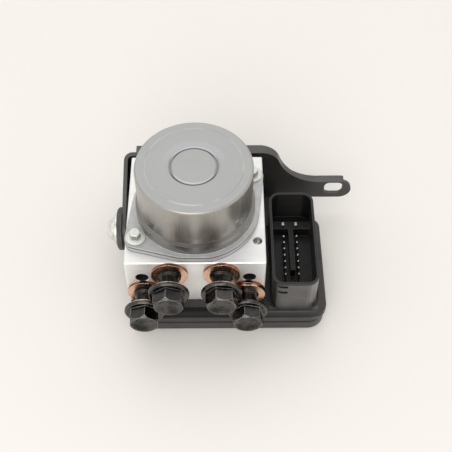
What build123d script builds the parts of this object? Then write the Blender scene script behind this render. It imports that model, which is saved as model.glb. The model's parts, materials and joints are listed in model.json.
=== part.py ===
from build123d import *
from math import asin, cos, degrees, radians, sin, sqrt
import os

# ABS brake module: an aluminium hydraulic block with a pump motor on top, an electronic
# control unit below with its plug socket at the right, four banjo bolts in the front face,
# and a rubber-mounted steel bracket round the left side and the back.
# Millimetres, +Z up. The origin is on the control unit's underside, below the motor's axis.
# +X is to the right seen from the ports' side, and +Y runs from the ports to the back.

# ---------------------------------------------------------------- driving dimensions

# Hydraulic block
block_width = 60.0
block_depth = 59.0
block_height = 29.3
block_edge = 0.4  # broken edges
axis_from_front = 27.7  # motor axis behind the front face

# Running, sliding and seat clearances, each on the radius or per side
run_clear = 0.03  # shaft in a bearing
slide_clear = 0.05  # piston or armature in its bore
seat_clear = 0.05  # a part pressed or glued into its seat
thread_clear = 0.05  # screw in its thread
loose_clear = 0.3  # parts that only pass each other
float_gap = 0.8  # free space at a moving part's end
lead_in = 0.6  # bevel on the ends of pins, screws and pistons

# Brake line ports with their banjo bolts (M10 x 1)
port_thread = 10.0
port_depth = 12.5
port_gallery = 2.6  # drilled passages
port_point = 2.0  # drill point beyond the thread
lower_port_edge = 7.8  # lower ports from the block's sides
lower_port_rise = 8.2  # above the block's underside
banjo_flats = 12.0
banjo_head = 7.2  # height over the flange
banjo_flange_radius = 8.7
banjo_flange = 1.5
banjo_gap = 0.08  # between the flanges of an upper and a lower bolt
banjo_neck_radius = 4.3
banjo_neck = 7.4
banjo_grip_upper = 9.8  # block face to the underside of the head
banjo_grip_lower = 10.2
banjo_engagement = 9.5
banjo_bore = 4.0
banjo_cross_radius = 1.5
banjo_bevel = 1.1
banjo_dish_radius = 5.3
banjo_dish = 1.1
banjo_dish_slope = 2.4
hang_clear = 0.03
banjo_hex_turns = (8.0, 20.0, -6.0, 13.0)  # degrees about each bolt's axis
washer_outer = 15.8
washer_inner = 10.2
washer_thick = 1.3

# Threaded holes for the vehicle's own bracket, in the front face (M6)
mount_edge = 6.9  # from the block's sides
mount_drop = 11.0
mount_hole_radius = 2.6
mount_hole_depth = 8.6
mount_hole_chamfer = 0.45

# Pressed ball plugs
ball_radius = 2.0
ball_sunk = 0.25
top_ball_edge = 3.4  # from the block's side
top_ball_y = -16.2
top_gallery_depth = 21.0
side_gallery_rise = 5.4  # above the block's underside

# Pump chamber and its eccentric
chamber_radius = 11.5
chamber_depth = 16.0
tail_depth = 2.0  # shaft's tail below the chamber
pilot_depth = 2.0  # motor's pilot in the chamber's mouth
eccentric = 0.9
pump_drop = 9.5  # pump axis below the block's top
pump_ring_radius = 8.0
pump_ring_height = 8.0
eccentric_radius = 5.0

# Pump elements, one each side of the chamber
pump_bore_radius = 6.0
pump_plug_radius = 7.0
pump_plug_length = 5.2
pump_plug_socket = 5.0  # across flats
piston_radius = 3.5
piston_length = 8.4
sleeve_start = 10.6  # from the motor axis
sleeve_base = 1.6
sleeve_outlet_radius = 1.2
pump_spring_wire = 0.6
pump_spring_turns = 3.5

# Solenoid valves, in two rows under the chamber
valve_x = 9.0
valve_rows = (-10.5, 5.5)
valve_bore_radius = 4.5
valve_bore_depth = 10.8
valve_flange_radius = 5.4
valve_flange = 1.2
valve_dome_radius = 3.5
valve_dome_wall = 0.5
valve_dome_gap = 0.6  # over the circuit board
valve_armature_length = 4.6
valve_pin_radius = 0.9
valve_lift = 0.3
coil_radius = 7.0
coil_height = 6.8
coil_gap = 0.4  # over the circuit board

# Low-pressure accumulators
accumulator_x = 13.0
accumulator_gap = 13.0  # behind the second row of valves
accumulator_radius = 6.5
accumulator_closed_spring = 2.3  # between cap and piston at full travel
accumulator_cap = 2.0
accumulator_piston = 4.0
accumulator_travel = 2.8
accumulator_wall = 1.3
accumulator_spring_wire = 0.6
accumulator_spring_turns = 3.0

# Motor: can, end shield and screws
can_radius = 24.7
can_wall = 1.3
can_height = 30.7  # above the block
can_edge = 1.2
can_foot = 0.3
can_ring_rim = 1.1  # wider ring at the foot, beyond the wall
can_ring_height = 5.0
can_ring_bevel = 1.2
can_top = 1.5
crease_radius = 9.8
crease_depth = 0.6
crease_half = 0.85
rim_step_inset = 4.1
rim_step = 0.15
stakes = ((-161.0, 3.2), (-135.0, 12.0), (-45.0, 12.0), (-31.0, 3.2))  # dents: angle, height
stake_ball = 1.6
stake_depth = 0.4
shield_thick = 2.6
shield_joint = 0.5  # height and depth of the joint under the flange
flange_sheet = 1.0
flange_rim = 3.1  # beyond the can
flange_flat_rim = 2.3  # beyond the can at the front and back
ear_edge = 4.8  # motor screws from the block's sides
ear_gap = 5.7  # motor screws from the can
ear_radius = 4.8
motor_screw_thread = 5.0
motor_screw_depth = 7.0
motor_screw_flange_radius = 4.2
motor_screw_flange = 1.2
motor_screw_head_radius = 2.5  # to the corners
motor_screw_head = 3.2
motor_screw_turn = -8.0
seal_section = 1.5

# Motor: rotor
shaft_radius = 4.0
tail_radius = 3.0
flange_bearing_radius = 8.0
flange_bearing_width = 5.0
top_bearing_radius = 6.0
top_bearing_width = 4.0
bearing_seat_wall = 1.2
bearing_rise = 2.0  # lower bearing above the end shield
air_gap = 0.85
core_inset_low = 2.9  # core's ends inside the magnets' ends
core_inset_high = 3.4
core_hub = 5.0
slot_count = 10
slot_width = 3.4
slot_mouth = 1.3
tooth_tip = 1.9
end_turn_low = 2.3
end_turn_high = 2.2
winding_clear = 0.15
commutator_radius = 8.0
commutator_rise = 3.6  # above the end shield
commutator_height = 6.3
riser_radius = 9.0
riser_height = 1.0
segment_gap = 0.6
segment_depth = 1.0

# Motor: magnets and brushes
magnet_thick = 4.9
magnet_rise = 9.7  # above the end shield
magnet_gap = 1.3  # below the can's crown
magnet_arc = 140.0
brush_plate_thick = 2.0
brush_plate_bore_gap = 1.0
brush_plate_gap = 0.5
brush_width = 5.0
brush_height = 4.2
brush_rise = 0.5  # above the commutator's lower end
brush_length = 7.6
holder_wall = 1.0
holder_gap = 1.8  # from the commutator
holder_inset = 0.8  # from the plate's edge
brush_spring_radius = 1.6
brush_spring_wire = 0.5
brush_spring_turns = 3.0
power_pin_spacing = 2.8
power_pin_width = 1.6
power_pin_thick = 0.8
stalk_radius = 3.3
stalk_wall = 1.3  # between the seal and the stalk's hole

# Electronic control unit
ecu_height = 15.2
ecu_front = 34.8  # front face ahead of the motor axis
wing_width = 28.3  # beyond the block's side
wing_back = 18.5
notch_start = 8.0  # beyond the block's side
corner_front_right = 8.5
corner_front_right_roof = 5.0  # above the band
corner_back_right = 6.0
corner_small = 2.5
ecu_top_edge = 0.5
ecu_ledge = 0.5  # the band over the joint stands out
ecu_ledge_height = 2.8
ecu_wall = 2.6
ecu_roof = 2.4
cover_plate = 2.0
cover_height = 6.6
cover_edge = 0.9
cover_skirt = 1.8
parting_groove = 1.4
tongue_clear = 0.1
window_front_gap = 2.0  # in front of the windings
window_back_gap = 1.0  # behind the motor's stalk
window_corner = 4.0
seal_width = 1.8
seal_depth = 1.2
seal_margin = 1.0  # window edge to the seal groove
seal_wall = 0.6  # seal groove to the screws' holes
board_thick = 1.6
board_gap = 1.6  # over the cover's floor
board_margin = 0.5
board_back_rim = 5.0  # behind the supply pins
board_post_radius = 1.8
board_post_inset = 6.4  # from the unit's outline
board_post_left_x = -18.0
board_post_front_y = -15.4  # of the post beside the socket
pillar_radius = 3.6
pillar_gap = 2.2  # over the board
pillar_board_gap = 0.2
ecu_screw_edge = 5.8  # from the block's sides
ecu_screw_back = 5.9  # from the block's back
ecu_screw_front_y = -2.5
ecu_screw_thread = 4.0
ecu_screw_head_radius = 3.0
ecu_screw_head = 2.4
ecu_screw_depth = 7.8
ecu_screw_recess = 1.4

# Plug socket on the control unit
socket_gap = 3.0  # from the block's side
socket_width = 20.2
socket_front_margin = 2.6  # from the unit's front
socket_back_margin = 0.7  # from the wing's back
socket_height = 19.5
socket_wall = 1.1
socket_corner = 5.0
socket_floor = 2.6  # above the unit's roof
socket_rib = 2.2
socket_rib_gap = 1.25  # from the right column
socket_rib_start = 14.8  # from the socket's front
socket_step_height = 5.6  # step round the wide blades, as high as the rib
socket_step_depth = 4.1
socket_step_shift = 0.3  # its middle behind the blades' middle
moat_width = 1.2  # shallow channel round the socket's foot
moat_depth = 0.9
moat_end = 5.0  # ahead of the socket's back
slot_recess = 0.6
slot_recess_height = 1.4
slot_recess_width = 4.0
slot_recess_drops = (1.8, 6.0)  # below the socket's rim
terminal_width = 0.9
terminal_height = 7.5
terminal_column_inset = 6.6  # from the socket's left side
terminal_column_gap = 5.9
terminal_start = 11.6  # from the socket's front
terminal_pitch = 3.45
terminal_rows = 7
power_blade_inset = 10.8  # from the socket's back
power_blade_width = 1.8
power_blade_thick = 1.5

# Bracket of pressed sheet, held off the block by rubber grommets
sheet = 1.8
rubber_gap = 2.1
bend_radius = 3.0
lip_depth = 4.9  # over the back wall
lip_depth_slope = 3.2
lip_depth_tab = 4.1
lip_band = 0.5  # slack round the lip's cut
lip_overhang = 0.4  # beyond the block's left side
shoulder_inset = 0.1
shoulder_radius = 9.0
valley_radius = 22.0
valley_rise = 0.6  # valley arc's centre above the bracket's top
lip_end_inset = 3.9  # from the tab's end
tab_end = 74.4
tab_height = 11.5
slot_from_end = 8.6
slot_rise = 1.0  # over the tab's middle
slot_length = 8.9
slot_height = 8.1
slot_corner = 2.6
wall_drop = 3.8  # below the block's underside
wall_foot = 7.0  # beyond the block's side
tab_slope_run = 14.0  # from the block's side to the tab's lower edge
arm_slope = 18.4
arm_end_radius = 8.0
grommet_hole_radius = 5.5
grommet_flange_radius = 9.9
grommet_flange = 2.4
grommet_pad_radius = 8.0
sleeve_outer = 4.0
sleeve_inner = 3.15
bracket_bolt_thread = 6.0
bracket_bolt_depth = 8.4
bracket_bolt_flange_radius = 7.4
bracket_bolt_flange = 1.2
bracket_bolt_flange_bevel = 0.4
bracket_bolt_dome = 4.4
bracket_bolt_flats = 10.0
left_bolt_y = 4.8
left_bolt_rise = 9.8  # above the block's underside
back_bolt_edge = 10.0  # from the block's sides
back_bolt_rise = 15.8

# ---------------------------------------------------------------- derived places

left = -block_width / 2
right = block_width / 2
front = -axis_from_front
back = front + block_depth
floor_z = ecu_height
top_z = floor_z + block_height

lower_port_x = right - lower_port_edge
upper_port_x = lower_port_x / 2
bolt_distance = 2 * banjo_flange_radius + banjo_gap
lower_port_z = floor_z + lower_port_rise
upper_port_z = lower_port_z + sqrt(bolt_distance**2 - (lower_port_x - upper_port_x) ** 2)
ports = [(s * upper_port_x, upper_port_z, banjo_grip_upper) for s in (-1, 1)]
ports += [(s * lower_port_x, lower_port_z, banjo_grip_lower) for s in (-1, 1)]
mount_x = right - mount_edge
top_ball_x = right - top_ball_edge
side_ball_x = right - 2 * ball_radius
side_gallery_z = floor_z + side_gallery_rise

pump_z = top_z - pump_drop
chamber_floor = top_z - chamber_depth
tail_low = chamber_floor - tail_depth
piston_tip = pump_ring_radius + eccentric + slide_clear
piston_end = piston_tip + piston_length
plug_inner = right - pump_plug_length
sides = {"left": -1, "right": 1}

shield_top = top_z + shield_thick
flange_top = shield_top + flange_sheet
ring_top = flange_top + can_ring_height
can_top_z = top_z + can_height
can_inner = can_radius - can_wall
ring_radius = can_radius + can_ring_rim
ring_inner = ring_radius - can_wall
crown_z = can_top_z - can_top
flange_radius = can_radius + flange_rim
flange_flat = can_radius + flange_flat_rim
ear_x = right - ear_edge
ear_y = sqrt((can_radius + ear_gap) ** 2 - ear_x**2)
screw_places = [(-ear_x, -ear_y), (ear_x, ear_y)]
bearing_low = shield_top + bearing_rise - flange_bearing_width
bearing_top = bearing_low + flange_bearing_width
hub_top = bearing_top + bearing_seat_wall
shaft_high = crown_z - float_gap
magnet_low = shield_top + magnet_rise
magnet_high = crown_z - magnet_gap
magnet_outer = can_inner - seat_clear
core_radius = magnet_outer - magnet_thick - air_gap
core_low = magnet_low + core_inset_low
core_high = magnet_high - core_inset_high
slot_inner = shaft_radius + core_hub
slot_outer = core_radius - tooth_tip
winding_low = core_low - end_turn_low
winding_high = core_high + end_turn_high
commutator_low = shield_top + commutator_rise
plate_top = shield_top + brush_plate_thick
brush_plate_inner = flange_bearing_radius + bearing_seat_wall + brush_plate_bore_gap
brush_plate_outer = can_inner - brush_plate_gap
brush_low = commutator_low + brush_rise
holder_start = commutator_radius + holder_gap
holder_end = brush_plate_outer - holder_inset
stalk_hole = stalk_radius + loose_clear
power_pin_y = chamber_radius + seal_section + stalk_wall + stalk_hole
stalk_low = floor_z - float_gap

board_low = cover_plate + board_gap
board_top = board_low + board_thick
dome_low = board_top + valve_dome_gap
dome_floor = dome_low + valve_dome_wall
coil_low = board_top + coil_gap
armature_low = dome_floor + slide_clear
armature_high = armature_low + valve_armature_length
pole_face = armature_high + valve_lift + slide_clear
pin_high = side_gallery_z + port_gallery / 4
valve_seat = pin_high + valve_lift + slide_clear
valve_top = floor_z + valve_bore_depth
valve_places = [(s * valve_x, y) for y in valve_rows for s in (-1, 1)]
accumulator_y = valve_rows[1] + accumulator_gap
accumulator_room = accumulator_closed_spring + accumulator_travel + accumulator_piston + float_gap / 4
accumulator_top = floor_z + accumulator_cap + accumulator_room
cap_top = floor_z + accumulator_cap

roof_low = floor_z - ecu_roof
housing_low = cover_height + parting_groove
ledge_z = housing_low + ecu_ledge_height
notch_x = right + notch_start
ecu_right = right + wing_width
ecu_screw_x = right - ecu_screw_edge
ecu_screw_rows = (ecu_screw_front_y, back - ecu_screw_back)
ecu_screw_places = [(s * ecu_screw_x, y) for s in (-1, 1) for y in ecu_screw_rows]
ecu_screw_hole = ecu_screw_thread / 2 + loose_clear
window_half_x = ecu_screw_x - ecu_screw_hole - seal_wall - seal_width - seal_margin
window_front = valve_rows[0] - coil_radius - window_front_gap
window_back = power_pin_y + stalk_radius + window_back_gap
pillar_low = board_top + pillar_gap
board_half_x = ecu_screw_x - pillar_radius - pillar_board_gap
board_back = power_pin_y + board_back_rim
board_posts = [
    (board_post_left_x, board_post_inset - ecu_front),
    (ecu_right - board_post_inset, board_post_front_y),
    (ecu_right - board_post_inset, wing_back - board_post_inset),
    (board_post_left_x, board_back - board_post_radius - board_margin),
]
socket_left = right + socket_gap
socket_right = socket_left + socket_width
socket_front = ecu_front - socket_front_margin
socket_back = wing_back - socket_back_margin
socket_base = floor_z + socket_floor
terminal_top = socket_base + terminal_height
terminal_front = terminal_start - socket_front
terminal_left = socket_left + terminal_column_inset
terminal_columns = (terminal_left, terminal_left + terminal_column_gap)
power_blade_y = socket_back - power_blade_inset
step_middle = power_blade_y + socket_step_shift

grommet_top = rubber_gap + sheet + grommet_flange
arm_mid = left - rubber_gap - sheet / 2
wall_mid = back + rubber_gap + sheet / 2
wall_back = back + rubber_gap + sheet
wall_left = left + sheet
wall_low = floor_z - wall_drop
left_bolt_z = floor_z + left_bolt_rise
back_bolt_x = right - back_bolt_edge
back_bolt_z = floor_z + back_bolt_rise
bolt_hole = bracket_bolt_depth + float_gap
valley_z = top_z + valley_rise
shoulder_x = right - shoulder_inset
shoulder_z = top_z - shoulder_radius
arc_reach = shoulder_radius + valley_radius
valley_x = shoulder_x + sqrt(arc_reach**2 - (valley_z - shoulder_z) ** 2)
tab_middle = valley_z - valley_radius - tab_height / 2
slot_x = tab_end - slot_from_end
slot_z = tab_middle + slot_rise

parts = {}


# ---------------------------------------------------------------- helpers


def bar(radius, start, direction, length):
    """Round bar from a start point along a direction."""
    return Plane(origin=start, z_dir=direction) * Pos(0, 0, length / 2) * Cylinder(radius, length)


def post(radius, x, y, low, high):
    """Upright round bar between two heights."""
    return bar(radius, (x, y, low), (0, 0, 1), high - low)


def slab(outline, low, high):
    """Upright prism of a plan outline between two heights."""
    return extrude(Pos(0, 0, low) * outline, high - low)


def block(x_low, x_high, y_low, y_high, z_low, z_high):
    """Plain box between two corners."""
    size = (x_high - x_low, y_high - y_low, z_high - z_low)
    middle = ((x_low + x_high) / 2, (y_low + y_high) / 2, (z_low + z_high) / 2)
    return Pos(*middle) * Box(*size)


def turned(profile):
    """Solid of revolution about Z from its (radius, height) corners."""
    outline = Polyline(*[(radius, 0, height) for radius, height in profile], close=True)
    return revolve(make_face(outline), Axis.Z)


def place(solid, point, direction):
    """Put a solid drawn about +Z at a point, with its axis along a direction."""
    return Plane(origin=point, z_dir=direction) * solid


def coil(radius, wire, turns, length):
    """Compression spring of square wire along +Z, its ends inside the given length."""
    rise = length - wire
    path = Helix(pitch=rise / turns, height=rise, radius=radius - wire / 2)
    section = Plane(origin=path @ 0, z_dir=path % 0) * Rectangle(wire * 0.9, wire * 0.9)
    return Pos(0, 0, wire / 2) * sweep(section, path=path, is_frenet=True)


# ---------------------------------------------------------------- hydraulic block


def port_cut(x, z):
    """Thread and drill point of one brake line port."""
    point = Pos(0, 0, port_point / 2) * Cone(port_thread / 2, port_gallery / 2, port_point)
    return bar(port_thread / 2, (x, front, z), (0, 1, 0), port_depth) + place(
        point, (x, front + port_depth, z), (0, 1, 0)
    )


def mount_cut(x):
    """Bevelled M6 hole for the vehicle's own bracket."""
    mouth = (x, front, top_z - mount_drop)
    wide = mount_hole_radius + mount_hole_chamfer
    bevel = Pos(0, 0, mount_hole_chamfer / 2) * Cone(wide, mount_hole_radius, mount_hole_chamfer)
    return bar(mount_hole_radius, mouth, (0, 1, 0), mount_hole_depth) + place(bevel, mouth, (0, 1, 0))


def side_cuts(s):
    """Everything drilled into one half of the block, s being -1 or 1."""
    cuts = [mount_cut(s * mount_x)]
    cuts.append(bar(pump_bore_radius, (0, 0, pump_z), (s, 0, 0), right))
    cuts.append(bar(pump_plug_radius, (s * plug_inner, 0, pump_z), (s, 0, 0), pump_plug_length))
    cuts.append(post(accumulator_radius, s * accumulator_x, accumulator_y, floor_z, accumulator_top))
    gallery_y = valve_rows[0]
    cuts.append(bar(port_gallery / 2, (s * valve_x, gallery_y, side_gallery_z), (s, 0, 0), right - valve_x))
    cuts.append(bar(ball_radius, (s * side_ball_x, gallery_y, side_gallery_z), (s, 0, 0), right))
    feed_y = front + port_depth
    feed = (s * lower_port_x, feed_y, side_gallery_z)
    cuts.append(bar(port_gallery / 2, feed, (0, 1, 0), gallery_y - feed_y))
    cuts.append(bar(bracket_bolt_thread / 2, (s * back_bolt_x, back, back_bolt_z), (0, -1, 0), bolt_hole))
    return cuts


def hydraulic_block():
    body = chamfer(block(left, right, front, back, floor_z, top_z).edges(), block_edge)
    seal_seat = chamber_radius + seal_section
    cuts = [post(chamber_radius, 0, 0, chamber_floor, top_z)]
    cuts.append(post(seal_seat, 0, 0, top_z - seal_section, top_z))
    cuts.append(post(tail_radius + run_clear, 0, 0, tail_low - float_gap / 2, chamber_floor))
    cuts.append(post(stalk_hole, 0, power_pin_y, floor_z, top_z))
    cuts += [port_cut(x, z) for x, z, grip in ports]
    cuts += side_cuts(-1) + side_cuts(1)
    for x, y in screw_places:
        cuts.append(post(motor_screw_thread / 2, x, y, top_z - motor_screw_depth - float_gap, top_z))
    for x, y in ecu_screw_places:
        cuts.append(post(ecu_screw_thread / 2, x, y, floor_z, floor_z + ecu_screw_depth + float_gap))
    for x, y in valve_places:
        cuts.append(post(valve_bore_radius, x, y, floor_z, valve_top))
    cuts.append(bar(bracket_bolt_thread / 2, (left, left_bolt_y, left_bolt_z), (1, 0, 0), bolt_hole))
    cuts.append(post(ball_radius, top_ball_x, top_ball_y, top_z - 2 * ball_radius, top_z))
    cuts.append(post(port_gallery / 2, top_ball_x, top_ball_y, top_z - top_gallery_depth, top_z))
    for cut in cuts:
        body -= cut
    return body


def ball_plugs():
    """Steel balls pressed into the mouths of the drilled passages."""
    depth = ball_sunk + ball_radius
    ball = Sphere(ball_radius - seat_clear / 2)
    plugs = [Pos(top_ball_x, top_ball_y, top_z - depth) * ball]
    plugs += [Pos(s * (right - depth), valve_rows[0], side_gallery_z) * ball for s in (-1, 1)]
    return plugs


def banjo_bolt(grip, turn):
    """Hollow bolt along +Z, with the block's face at zero and the head's flange at the grip."""
    radius = port_thread / 2 - thread_clear
    flange_top_at = grip + banjo_flange
    end = grip + banjo_head
    across_corners = banjo_flats / sqrt(3)
    shank = turned(
        [
            (0, -banjo_engagement),
            (radius - lead_in, -banjo_engagement),
            (radius, lead_in - banjo_engagement),
            (radius, grip - banjo_neck),
            (banjo_neck_radius, grip - banjo_neck + lead_in),
            (banjo_neck_radius, grip),
            (banjo_flange_radius, grip),
            (banjo_flange_radius, flange_top_at - lead_in),
            (banjo_flange_radius - lead_in, flange_top_at),
            (0, flange_top_at),
        ]
    )
    nut = slab(RegularPolygon(across_corners, 6), flange_top_at, end)
    rounding = turned(
        [
            (0, flange_top_at),
            (across_corners, flange_top_at),
            (across_corners, end - banjo_bevel),
            (banjo_flats / 2 - run_clear, end),
            (banjo_dish_radius, end),
            (banjo_dish_radius - banjo_dish_slope, end - banjo_dish),
            (0, end - banjo_dish),
        ]
    )
    bore = post(banjo_bore / 2, 0, 0, -banjo_engagement, grip - banjo_neck / 2)
    cross = bar(banjo_cross_radius, (0, -port_thread, grip - banjo_neck / 2), (0, 1, 0), 2 * port_thread)
    return shank + Rot(0, 0, turn) * (nut & rounding) - bore - cross


def banjo_bolts():
    return [
        place(banjo_bolt(grip, turn), (x, front, z), (0, -1, 0))
        for (x, z, grip), turn in zip(ports, banjo_hex_turns)
    ]


def copper_washers():
    """Two sealing rings hang on each bolt; on the last bolt both lie at the block."""
    ring = Cylinder(washer_outer / 2, washer_thick) - Cylinder(washer_inner / 2, washer_thick)
    thread_drop = washer_inner / 2 - (port_thread / 2 - thread_clear) - hang_clear
    neck_drop = washer_inner / 2 - banjo_neck_radius - hang_clear
    rings = []
    for x, z, grip in ports:
        rings.append(place(ring, (x, front - washer_thick / 2, z - thread_drop), (0, -1, 0)))
        if (x, z, grip) == ports[-1]:
            rings.append(place(ring, (x, front - 1.5 * washer_thick, z - thread_drop), (0, -1, 0)))
        else:
            rings.append(place(ring, (x, front - grip + washer_thick / 2, z - neck_drop), (0, -1, 0)))
    return rings


# ---------------------------------------------------------------- pump elements


def pump_piston(s):
    piston = turned(
        [
            (0, piston_tip),
            (piston_radius - lead_in, piston_tip),
            (piston_radius, piston_tip + lead_in),
            (piston_radius, piston_end),
            (0, piston_end),
        ]
    )
    return place(piston, (0, 0, pump_z), (s, 0, 0))


def pump_sleeve(s):
    outer = pump_bore_radius - seat_clear
    inner = piston_radius + slide_clear
    base = plug_inner - sleeve_base
    sleeve = turned(
        [
            (inner, sleeve_start),
            (outer - lead_in, sleeve_start),
            (outer, sleeve_start + lead_in),
            (outer, plug_inner),
            (sleeve_outlet_radius, plug_inner),
            (sleeve_outlet_radius, base),
            (inner, base),
        ]
    )
    return place(sleeve, (0, 0, pump_z), (s, 0, 0))


def pump_spring(s):
    room = plug_inner - sleeve_base - piston_end
    spring = coil(piston_radius - loose_clear, pump_spring_wire, pump_spring_turns, room)
    return place(spring, (s * piston_end, 0, pump_z), (s, 0, 0))


def pump_plug(s):
    outer = pump_plug_radius - seat_clear
    profile = [(0, plug_inner), (outer, plug_inner), (outer, right - lead_in), (outer - lead_in, right)]
    plug = turned(profile + [(0, right)])
    socket = slab(RegularPolygon(pump_plug_socket / sqrt(3), 6), right - pump_plug_length / 2, right)
    return place(plug - socket, (0, 0, pump_z), (s, 0, 0))


# ---------------------------------------------------------------- accumulators


def accumulator_cap(s):
    return post(accumulator_radius - seat_clear, s * accumulator_x, accumulator_y, floor_z, cap_top)


def accumulator_piston_cup(s):
    outer = accumulator_radius - slide_clear
    top = accumulator_top - float_gap / 4
    low = top - accumulator_piston
    cup = turned(
        [
            (0, top - accumulator_wall),
            (outer - accumulator_wall, top - accumulator_wall),
            (outer - accumulator_wall, low),
            (outer, low),
            (outer, top),
            (0, top),
        ]
    )
    return Pos(s * accumulator_x, accumulator_y) * cup


def accumulator_spring(s):
    inner = accumulator_radius - slide_clear - accumulator_wall - loose_clear / 2
    room = accumulator_top - float_gap / 4 - accumulator_wall - cap_top
    spring = coil(inner, accumulator_spring_wire, accumulator_spring_turns, room)
    return Pos(s * accumulator_x, accumulator_y, cap_top) * spring


# ---------------------------------------------------------------- solenoid valves


def valve_body(x, y):
    """Valve cartridge caulked into the block, with its closed dome below."""
    inner = valve_dome_radius - valve_dome_wall
    hole = valve_pin_radius + slide_clear
    orifice = valve_pin_radius - loose_clear
    body = turned(
        [
            (0, dome_low),
            (valve_dome_radius, dome_low),
            (valve_dome_radius, floor_z - valve_flange),
            (valve_flange_radius, floor_z - valve_flange),
            (valve_flange_radius, floor_z),
            (valve_bore_radius - seat_clear, floor_z),
            (valve_bore_radius - seat_clear, valve_top - loose_clear),
            (orifice, valve_top - loose_clear),
            (orifice, valve_seat),
            (hole, valve_seat),
            (hole, pole_face),
            (inner, pole_face),
            (inner, dome_floor),
            (0, dome_floor),
        ]
    )
    inlet = bar(port_gallery / 4, (-valve_bore_radius, 0, side_gallery_z), (1, 0, 0), 2 * valve_bore_radius)
    return Pos(x, y) * (body - inlet)


def valve_armature(x, y):
    """Iron core with the pin that closes the seat."""
    radius = valve_dome_radius - valve_dome_wall - slide_clear
    shape = turned(
        [
            (0, armature_low),
            (radius, armature_low),
            (radius, armature_high),
            (valve_pin_radius, armature_high),
            (valve_pin_radius, pin_high - lead_in),
            (valve_pin_radius - lead_in, pin_high),
            (0, pin_high),
        ]
    )
    return Pos(x, y) * shape


def valve_coils():
    """Four potted windings, one round each dome."""
    high = coil_low + coil_height
    coils = []
    for x, y in valve_places:
        ring = post(coil_radius, x, y, coil_low, high)
        coils.append(ring - post(valve_dome_radius + slide_clear, x, y, coil_low, high))
    return coils


# ---------------------------------------------------------------- motor housing


def flange_outline():
    """Plan of the motor's flange: a disc with two ears and two straight sides."""
    rings = [*Circle(flange_radius).edges()]
    for x, y in screw_places:
        rings += (Pos(x, y) * Circle(ear_radius)).edges()
    return make_hull(rings) & Rectangle(2 * block_width, 2 * flange_flat)


def screw_holes(low, high):
    return [post(motor_screw_thread / 2 + loose_clear, x, y, low, high) for x, y in screw_places]


def wall_circles(can, radius, height):
    """Circles of one radius at one height."""
    circles = can.edges().filter_by(GeomType.CIRCLE)
    return [e for e in circles if abs(e.radius - radius) + abs(e.center().Z - height) < 0.01]


def stake_dents():
    """Round dents pressed into the foot ring and into the wall above the magnets' stops."""
    dents = []
    for angle, rise in stakes:
        outer = ring_radius if rise < can_ring_height else can_radius
        x, y = polar((0, 0), outer + stake_ball - stake_depth, angle)
        dents.append(Pos(x, y, flange_top + rise) * Sphere(stake_ball))
    return dents


def motor_can():
    crown = crown_z
    seat = top_bearing_radius
    rim_step_radius = can_radius - rim_step_inset
    bevel_top = ring_top + can_ring_bevel
    shell = turned(
        [
            (ring_inner, shield_top),
            (ring_radius, shield_top),
            (ring_radius, ring_top),
            (can_radius, bevel_top),
            (can_radius, can_top_z - rim_step),
            (rim_step_radius + rim_step, can_top_z - rim_step),
            (rim_step_radius, can_top_z),
            (crease_radius + crease_half, can_top_z - crease_depth / 4),
            (crease_radius, can_top_z - crease_depth),
            (crease_radius - crease_half, can_top_z - crease_depth / 4),
            (0, can_top_z),
            (0, crown),
            (seat, crown),
            (seat, crown - top_bearing_width),
            (seat + bearing_seat_wall, crown - top_bearing_width),
            (seat + bearing_seat_wall, crown),
            (can_inner, crown),
            (can_inner, bevel_top - can_wall / 2),
            (ring_inner, ring_top - can_wall / 2),
        ]
    )
    flange = slab(flange_outline(), shield_top, flange_top)
    flange -= post(ring_inner, 0, 0, shield_top, flange_top)
    can = shell + flange - screw_holes(shield_top, flange_top)
    can = fillet(wall_circles(can, ring_radius, flange_top), can_foot)
    can = fillet(wall_circles(can, can_radius, can_top_z - rim_step), can_edge)
    return can - stake_dents()


def end_shield():
    """Motor's lower plate, with the pilot that centres it in the block and the bearing's hub."""
    outline = flange_outline()
    plate = slab(outline, top_z, shield_top - shield_joint)
    neck = offset(outline, -shield_joint, kind=Kind.INTERSECTION)
    plate += slab(neck, shield_top - shield_joint, shield_top)
    hub = flange_bearing_radius + bearing_seat_wall
    turned_parts = post(chamber_radius - slide_clear, 0, 0, top_z - pilot_depth, top_z)
    turned_parts += post(hub, 0, 0, shield_top, hub_top)
    bore = post(flange_bearing_radius, 0, 0, top_z - pilot_depth, bearing_top)
    eye = post(shaft_radius + loose_clear, 0, 0, bearing_top, hub_top)
    stalk = post(stalk_hole, 0, power_pin_y, top_z, shield_top)
    return plate + turned_parts - bore - eye - stalk - screw_holes(top_z, shield_top)


def motor_seal():
    radius = seal_section / 2
    return Pos(0, 0, top_z - radius) * Torus(chamber_radius + radius, radius - slide_clear)


def motor_screw(x, y):
    """Flanged screw with a small hexagon head."""
    thread = motor_screw_thread / 2 - thread_clear
    shank = turned(
        [
            (0, top_z - motor_screw_depth),
            (thread - lead_in, top_z - motor_screw_depth),
            (thread, top_z - motor_screw_depth + lead_in),
            (thread, flange_top),
            (motor_screw_flange_radius, flange_top),
            (motor_screw_flange_radius, flange_top + motor_screw_flange / 2),
            (motor_screw_flange_radius - 2 * lead_in, flange_top + motor_screw_flange),
            (0, flange_top + motor_screw_flange),
        ]
    )
    low = flange_top + motor_screw_flange
    high = low + motor_screw_head
    hexagon = Rot(0, 0, motor_screw_turn) * RegularPolygon(motor_screw_head_radius, 6)
    head = slab(hexagon, low, high) & turned(
        [
            (0, low),
            (motor_screw_head_radius, low),
            (motor_screw_head_radius, high - lead_in),
            (motor_screw_head_radius - lead_in, high),
            (0, high),
        ]
    )
    return Pos(x, y) * (shank + head)


# ---------------------------------------------------------------- rotor


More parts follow.
